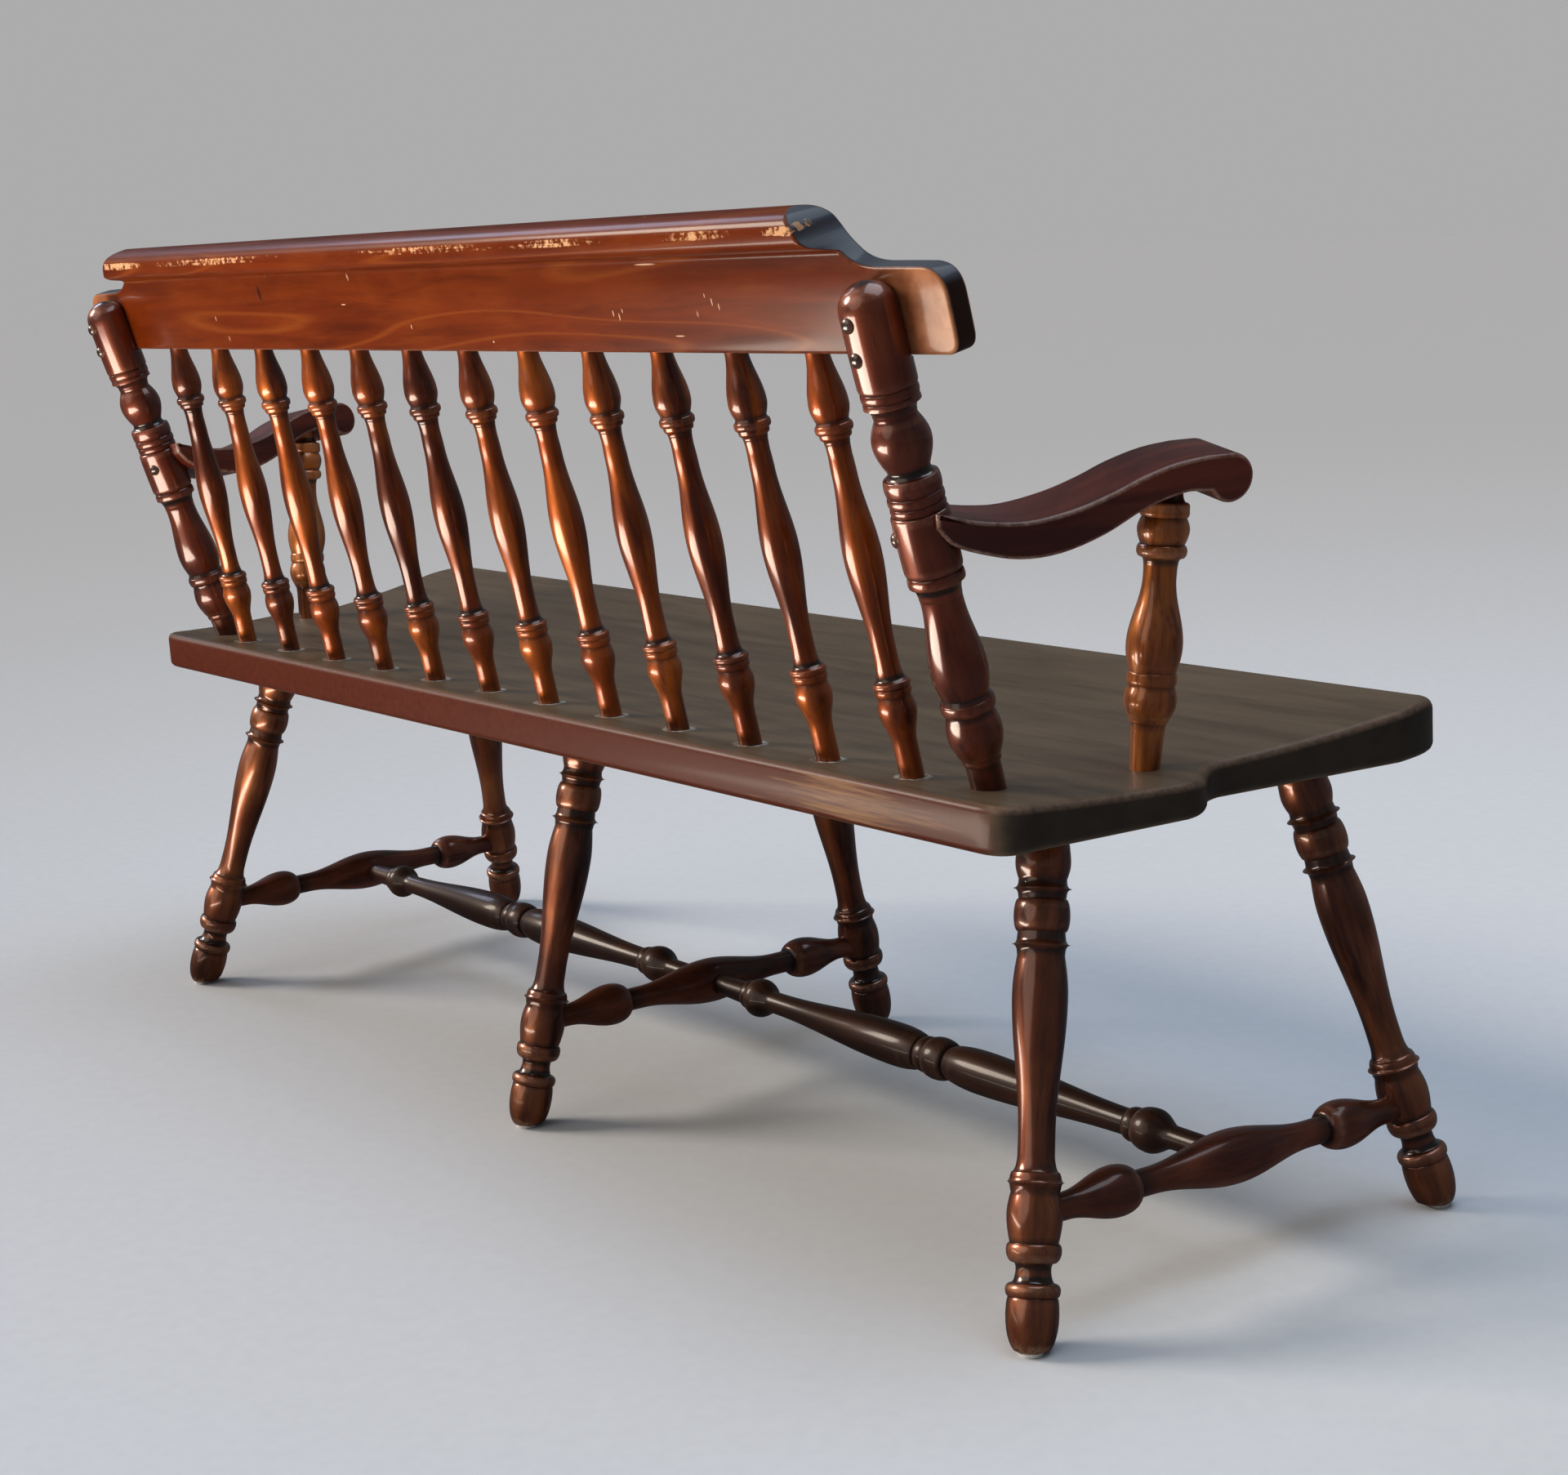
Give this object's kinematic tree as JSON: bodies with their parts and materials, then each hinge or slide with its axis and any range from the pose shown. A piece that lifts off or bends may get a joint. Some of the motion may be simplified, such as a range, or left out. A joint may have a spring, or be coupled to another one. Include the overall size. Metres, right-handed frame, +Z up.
{
  "type": "deacons bench",
  "caption": "Long wooden bench: dished plank seat on splayed turned legs and stretchers, a back of turned spindles under a rolled crest rail, and scrolled arms on turned posts.",
  "frame": {"origin": "on the floor, at the middle of the bench's box", "axes": "+X along the bench towards its right end as seen from the front, +Y towards the back rest, +Z up"},
  "size_m": [1.576, 0.5508, 0.878],
  "materials": {
    "seat_wood": "dark brown stain under worn satin lacquer",
    "turned_wood": "reddish brown stain under gloss lacquer, worn light on the rings",
    "rail_wood": "red brown stain with open cathedral grain, satin lacquer, worn along the roll's rear edge",
    "arm_wood": "very dark brown stain, satin lacquer with light worn edges",
    "button_wood": "dark stained wood buttons",
    "screw_steel": "plain zinc plated steel",
    "glide_plastic": "off-white nylon"
  },
  "bodies": {
    "root": {"seat_plank": "seat_wood", "leg_rear_left": "turned_wood", "glide_rear_left": "glide_plastic", "leg_rear_middle": "turned_wood", "glide_rear_middle": "glide_plastic", "leg_rear_right": "turned_wood", "glide_rear_right": "glide_plastic", "leg_front_left": "turned_wood", "glide_front_left": "glide_plastic", "leg_front_middle": "turned_wood", "glide_front_middle": "glide_plastic", "leg_front_right": "turned_wood", "glide_front_right": "glide_plastic", "stretcher_cross_left": "turned_wood", "stretcher_cross_middle": "turned_wood", "stretcher_cross_right": "turned_wood", "stretcher_medial_left": "turned_wood", "back_post_left": "turned_wood", "arm_left": "arm_wood", "arm_post_left": "turned_wood", "button_left_crest_upper": "button_wood", "screw_left_crest_upper": "screw_steel", "button_left_crest_lower": "button_wood", "screw_left_crest_lower": "screw_steel", "button_left_arm": "button_wood", "screw_left_arm": "screw_steel", "stretcher_medial_right": "turned_wood", "back_post_right": "turned_wood", "arm_right": "arm_wood", "arm_post_right": "turned_wood", "button_right_crest_upper": "button_wood", "screw_right_crest_upper": "screw_steel", "button_right_crest_lower": "button_wood", "screw_right_crest_lower": "screw_steel", "button_right_arm": "button_wood", "screw_right_arm": "screw_steel", "spindle_01": "turned_wood", "spindle_02": "turned_wood", "spindle_03": "turned_wood", "spindle_04": "turned_wood", "spindle_05": "turned_wood", "spindle_06": "turned_wood", "spindle_07": "turned_wood", "spindle_08": "turned_wood", "spindle_09": "turned_wood", "spindle_10": "turned_wood", "spindle_11": "turned_wood", "spindle_12": "turned_wood", "crest_rail": "rail_wood"}
  },
  "joints": []
}
